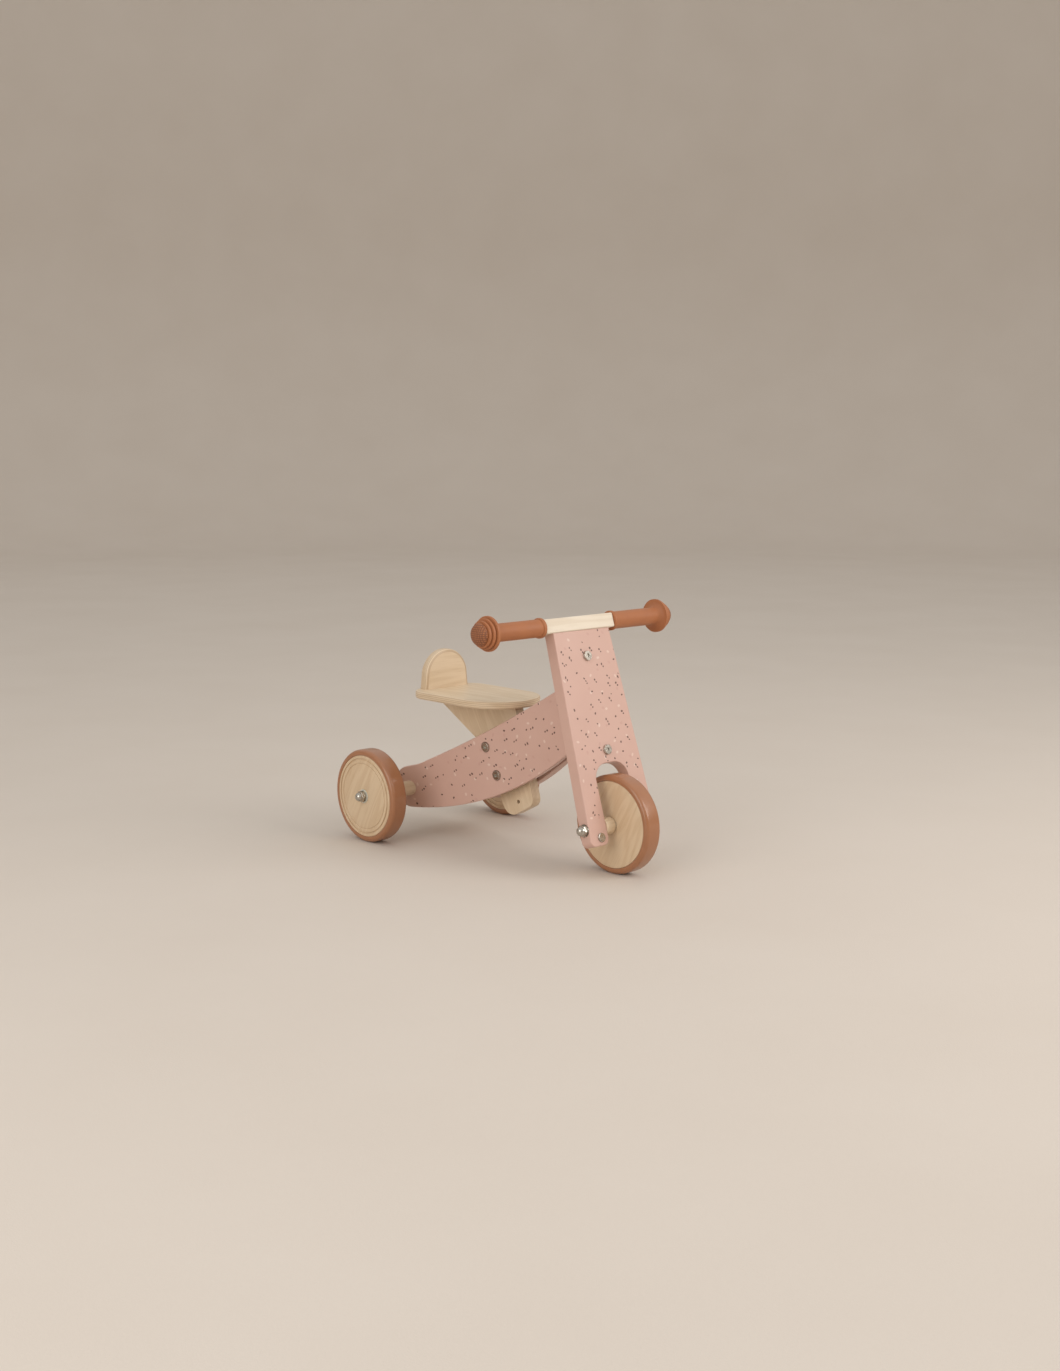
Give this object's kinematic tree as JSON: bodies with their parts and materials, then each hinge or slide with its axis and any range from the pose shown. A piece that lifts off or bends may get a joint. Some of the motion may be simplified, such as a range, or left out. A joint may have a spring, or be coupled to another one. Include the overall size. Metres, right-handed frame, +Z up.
{
  "type": "children's tricycle",
  "caption": "Wooden ride-on tricycle with a raked steering panel, solid wheels, seat with small backrest on a drilled post, and rubber grips.",
  "frame": {"origin": "on the floor, midway between the axles and in the middle of the width", "axes": "+X forward (the way the rider faces), +Y to the rider's left, +Z up"},
  "size_m": [0.561, 0.4056, 0.3928],
  "materials": {
    "painted_ply": "pale pink lacquer printed with small scattered confetti marks, satin",
    "birch_ply": "clear-lacquered birch plywood, satin",
    "birch": "turned birch, clear satin lacquer",
    "pale_beech": "fine-grained pale wood, matte oil",
    "grip_rubber": "moulded terracotta rubber, matte",
    "tyre_rubber": "terracotta solid rubber, soft gloss",
    "nickel": "nickel-plated steel",
    "steel": "zinc-plated steel",
    "nylon": "moulded nylon, natural"
  },
  "bodies": {
    "fork": {"fork_panel": "painted_ply", "handlebar": "pale_beech", "handlebar_dowels": "birch", "grip_left": "grip_rubber", "grip_right": "grip_rubber", "fork_bolts": "nickel", "steering_lug_upper": "birch", "steering_lug_lower": "birch", "steering_shaft": "steel", "thrust_washers": "nylon", "steering_stop_pin": "steel", "front_axle": "steel", "front_axle_washers": "nickel", "front_axle_nuts": "nickel", "front_spacers": "birch", "leg_screws": "nickel"},
    "front_wheel": {"front_wheel_disc": "birch", "front_tyre": "tyre_rubber", "front_bushes": "nylon"},
    "rear_wheel_left": {"rear_wheel_disc_left": "birch", "rear_tyre_left": "tyre_rubber", "rear_bushes_left": "nylon"},
    "rear_wheel_right": {"rear_wheel_disc_right": "birch", "rear_tyre_right": "tyre_rubber", "rear_bushes_right": "nylon"},
    "frame": {"frame_side_left": "painted_ply", "frame_side_right": "painted_ply", "head_block": "birch", "head_dowels": "birch", "head_bushes": "nylon", "rear_cross_block": "birch", "post_guide_left": "birch", "post_guide_right": "birch", "seat_post": "birch_ply", "seat_board": "birch_ply", "seat_cleat_left": "birch", "seat_cleat_right": "birch", "seat_screws": "steel", "backrest": "birch_ply", "backrest_screws": "steel", "post_bolts": "nickel", "post_nuts": "nickel", "rear_axle": "steel", "rear_axle_washers": "nickel", "rear_axle_nuts": "nickel", "rear_spacers": "birch"}
  },
  "joints": [
    {"name": "steering", "type": "hinge", "parent": "frame", "child": "fork", "pos_m": [0.14542, 0, 0.17244], "axis": [-0.3007, 0, 0.9537], "range_deg": [-45, 45]},
    {"name": "front_wheel_spin", "type": "hinge", "parent": "fork", "child": "front_wheel", "pos_m": [0.2055, 0, 0.075], "axis": [0, 1, 0], "continuous": true},
    {"name": "rear_wheel_left_spin", "type": "hinge", "parent": "frame", "child": "rear_wheel_left", "pos_m": [-0.2055, 0.146, 0.075], "axis": [0, 1, 0], "continuous": true},
    {"name": "rear_wheel_right_spin", "type": "hinge", "parent": "frame", "child": "rear_wheel_right", "pos_m": [-0.2055, -0.146, 0.075], "axis": [0, 1, 0], "continuous": true}
  ]
}
